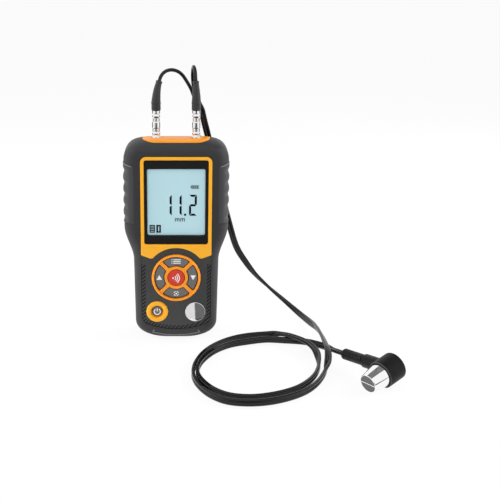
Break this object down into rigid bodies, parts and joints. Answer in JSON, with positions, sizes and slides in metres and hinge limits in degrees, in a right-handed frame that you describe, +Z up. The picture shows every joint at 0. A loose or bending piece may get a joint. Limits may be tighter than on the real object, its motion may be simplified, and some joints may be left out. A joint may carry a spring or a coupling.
{
  "type": "ultrasonic thickness gauge",
  "caption": "Upright hand-held ultrasonic thickness gauge with display, round key cluster, test block and an angled probe on a looped twin lead.",
  "frame": {"origin": "middle of the flat foot on which the meter stands", "axes": "+Z up along the meter, -Y out of the display, +X to the right as seen from the front"},
  "size_m": [0.1851, 0.1742, 0.1956],
  "materials": {
    "case_plastic": "satin",
    "grip_rubber": "matte",
    "panel_plastic": "satin",
    "orange_plastic": "semi-gloss",
    "window_plastic": "gloss",
    "lcd_glass": "satin",
    "white_plastic": "satin",
    "board_laminate": "satin",
    "key_rubber": "satin",
    "red_rubber": "satin",
    "test_steel": "polished",
    "nickel": "polished",
    "wire_sheath": "satin",
    "boot_rubber": "matte",
    "cable_sheath": "satin",
    "cell_wrap": "gloss",
    "screw_steel": "satin",
    "probe_chrome": "polished",
    "cap_plastic": "satin",
    "delay_resin": "satin",
    "cork": "matte",
    "ceramic": "satin",
    "backing_resin": "matte"
  },
  "bodies": {
    "meter": {"front_case": "case_plastic", "back_case": "case_plastic", "side_grip_left": "grip_rubber", "side_grip_right": "grip_rubber", "lower_panel": "panel_plastic", "window_bezel": "orange_plastic", "key_frame": "orange_plastic", "power_ring": "orange_plastic", "connector_plate": "orange_plastic", "display_window": "window_plastic", "lcd_panel": "lcd_glass", "backlight": "white_plastic", "main_board": "board_laminate", "key_mat": "key_rubber", "test_block": "test_steel", "socket_left": "nickel", "socket_right": "nickel", "socket_nuts": "nickel", "plug_left": "nickel", "plug_right": "nickel", "battery_springs": "nickel", "contact_plates": "nickel", "socket_wires": "wire_sheath", "boot_left": "boot_rubber", "boot_right": "boot_rubber", "probe_boot": "boot_rubber", "lead_left": "cable_sheath", "lead_right": "cable_sheath", "twin_cable": "cable_sheath", "battery_cells": "cell_wrap", "case_screws": "screw_steel", "probe_shell": "probe_chrome", "probe_cap": "cap_plastic", "delay_lines": "delay_resin", "acoustic_barrier": "cork", "crystals": "ceramic", "probe_backing": "backing_resin"},
    "key_top": {"key_top": "key_rubber"},
    "key_right": {"key_right": "key_rubber"},
    "key_bottom": {"key_bottom": "key_rubber"},
    "key_left": {"key_left": "key_rubber"},
    "key_centre": {"key_centre": "red_rubber"},
    "key_power": {"key_power": "key_rubber"},
    "battery_cover": {"battery_cover": "case_plastic"}
  },
  "joints": [
    {"name": "key_top_press", "type": "slide", "parent": "meter", "child": "key_top", "axis": [0, 1, 0], "range_m": [0, 0.0008], "stiffness_N_per_m": 1500},
    {"name": "key_right_press", "type": "slide", "parent": "meter", "child": "key_right", "axis": [0, 1, 0], "range_m": [0, 0.0008], "stiffness_N_per_m": 1500},
    {"name": "key_bottom_press", "type": "slide", "parent": "meter", "child": "key_bottom", "axis": [0, 1, 0], "range_m": [0, 0.0008], "stiffness_N_per_m": 1500},
    {"name": "key_left_press", "type": "slide", "parent": "meter", "child": "key_left", "axis": [0, 1, 0], "range_m": [0, 0.0008], "stiffness_N_per_m": 1500},
    {"name": "key_centre_press", "type": "slide", "parent": "meter", "child": "key_centre", "axis": [0, 1, 0], "range_m": [0, 0.0008], "stiffness_N_per_m": 1500},
    {"name": "key_power_press", "type": "slide", "parent": "meter", "child": "key_power", "axis": [0, 1, 0], "range_m": [0, 0.0008], "stiffness_N_per_m": 1500},
    {"name": "battery_cover_swing", "type": "hinge", "parent": "meter", "child": "battery_cover", "pos_m": [0, 0.0149, 0.0131], "axis": [-1, 0, 0], "range_deg": [0, 35]}
  ]
}
